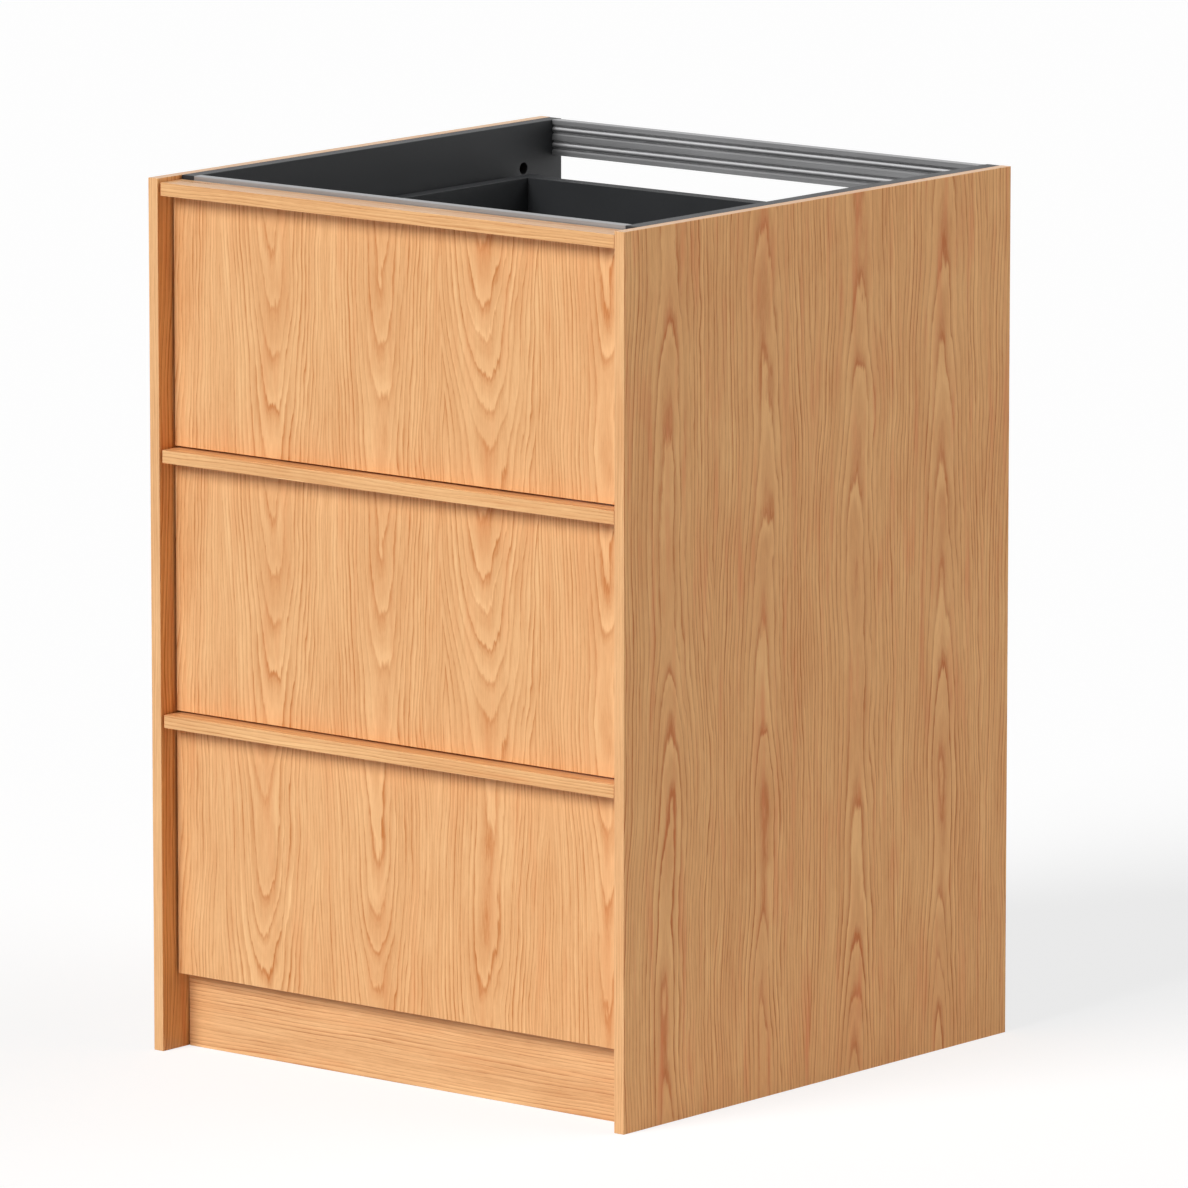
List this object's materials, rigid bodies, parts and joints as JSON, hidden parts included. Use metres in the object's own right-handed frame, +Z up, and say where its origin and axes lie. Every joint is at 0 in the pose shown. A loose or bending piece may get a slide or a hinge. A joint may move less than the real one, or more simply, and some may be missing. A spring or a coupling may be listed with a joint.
{
  "type": "base cabinet with drawers",
  "caption": "Kitchen base cabinet with full-width drawers, oak fronts and cover panels, projecting grip ledges, a set-back plinth and aluminium rails under the worktop.",
  "frame": {"origin": "on the floor, at the middle of the cabinet's width and depth", "axes": "+X to the right as seen from the front, -Y out of the drawer fronts, +Z up"},
  "size_m": [0.6, 0.6, 0.87],
  "materials": {
    "oak": "matt lacquered natural oak",
    "anthracite_board": "anthracite melamine faced board",
    "aluminium": "satin anodised extrusion",
    "zinced_steel": "zinc plated pressed sheet",
    "black_plastic": "moulded, fine texture"
  },
  "bodies": {
    "cabinet": {"left_cover_panel": "oak", "right_cover_panel": "oak", "left_side_panel": "anthracite_board", "right_side_panel": "anthracite_board", "bottom_panel": "anthracite_board", "rear_brace": "anthracite_board", "front_rail": "aluminium", "rear_rail": "aluminium", "plinth_board": "oak", "plinth_clip_left": "black_plastic", "plinth_clip_right": "black_plastic", "foot_socket_front_left": "black_plastic", "foot_socket_front_right": "black_plastic", "foot_socket_rear_left": "black_plastic", "foot_socket_rear_right": "black_plastic", "cabinet_runner_1_left": "zinced_steel", "cabinet_runner_1_right": "zinced_steel", "cabinet_runner_2_left": "zinced_steel", "cabinet_runner_2_right": "zinced_steel", "cabinet_runner_3_left": "zinced_steel", "cabinet_runner_3_right": "zinced_steel"},
    "drawer_1": {"drawer_1_grip_ledge": "oak", "drawer_1_front": "oak", "drawer_1_left_side": "anthracite_board", "drawer_1_right_side": "anthracite_board", "drawer_1_box_front": "anthracite_board", "drawer_1_back": "anthracite_board", "drawer_1_bottom": "anthracite_board", "drawer_runner_1_left": "zinced_steel", "drawer_runner_1_right": "zinced_steel"},
    "drawer_2": {"drawer_2_grip_ledge": "oak", "drawer_2_front": "oak", "drawer_2_left_side": "anthracite_board", "drawer_2_right_side": "anthracite_board", "drawer_2_box_front": "anthracite_board", "drawer_2_back": "anthracite_board", "drawer_2_bottom": "anthracite_board", "drawer_runner_2_left": "zinced_steel", "drawer_runner_2_right": "zinced_steel"},
    "drawer_3": {"drawer_3_grip_ledge": "oak", "drawer_3_front": "oak", "drawer_3_left_side": "anthracite_board", "drawer_3_right_side": "anthracite_board", "drawer_3_box_front": "anthracite_board", "drawer_3_back": "anthracite_board", "drawer_3_bottom": "anthracite_board", "drawer_runner_3_left": "zinced_steel", "drawer_runner_3_right": "zinced_steel"},
    "middle_runners_1": {"middle_runner_1_left": "zinced_steel", "middle_runner_1_right": "zinced_steel"},
    "middle_runners_2": {"middle_runner_2_left": "zinced_steel", "middle_runner_2_right": "zinced_steel"},
    "middle_runners_3": {"middle_runner_3_left": "zinced_steel", "middle_runner_3_right": "zinced_steel"},
    "leg_front_left": {"foot_leg_front_left": "black_plastic"},
    "leg_front_right": {"foot_leg_front_right": "black_plastic"},
    "leg_rear_left": {"foot_leg_rear_left": "black_plastic"},
    "leg_rear_right": {"foot_leg_rear_right": "black_plastic"}
  },
  "joints": [
    {"name": "drawer_1_slide", "type": "slide", "parent": "cabinet", "child": "drawer_1", "axis": [0, -1, 0], "range_m": [0, 0.48]},
    {"name": "drawer_2_slide", "type": "slide", "parent": "cabinet", "child": "drawer_2", "axis": [0, -1, 0], "range_m": [0, 0.48]},
    {"name": "drawer_3_slide", "type": "slide", "parent": "cabinet", "child": "drawer_3", "axis": [0, -1, 0], "range_m": [0, 0.48]},
    {"name": "middle_runners_1_slide", "type": "slide", "parent": "cabinet", "child": "middle_runners_1", "axis": [0, -1, 0], "range_m": [0, 0.24]},
    {"name": "middle_runners_2_slide", "type": "slide", "parent": "cabinet", "child": "middle_runners_2", "axis": [0, -1, 0], "range_m": [0, 0.24]},
    {"name": "middle_runners_3_slide", "type": "slide", "parent": "cabinet", "child": "middle_runners_3", "axis": [0, -1, 0], "range_m": [0, 0.24]},
    {"name": "leg_front_left_height", "type": "slide", "parent": "cabinet", "child": "leg_front_left", "axis": [0, 0, 1], "range_m": [-0.015, 0.012]},
    {"name": "leg_front_right_height", "type": "slide", "parent": "cabinet", "child": "leg_front_right", "axis": [0, 0, 1], "range_m": [-0.015, 0.012]},
    {"name": "leg_rear_left_height", "type": "slide", "parent": "cabinet", "child": "leg_rear_left", "axis": [0, 0, 1], "range_m": [-0.015, 0.012]},
    {"name": "leg_rear_right_height", "type": "slide", "parent": "cabinet", "child": "leg_rear_right", "axis": [0, 0, 1], "range_m": [-0.015, 0.012]}
  ],
  "couplings": [
    {"joint": "middle_runners_1_slide", "follows": "drawer_1_slide", "ratio": 0.5},
    {"joint": "middle_runners_2_slide", "follows": "drawer_2_slide", "ratio": 0.5},
    {"joint": "middle_runners_3_slide", "follows": "drawer_3_slide", "ratio": 0.5}
  ]
}
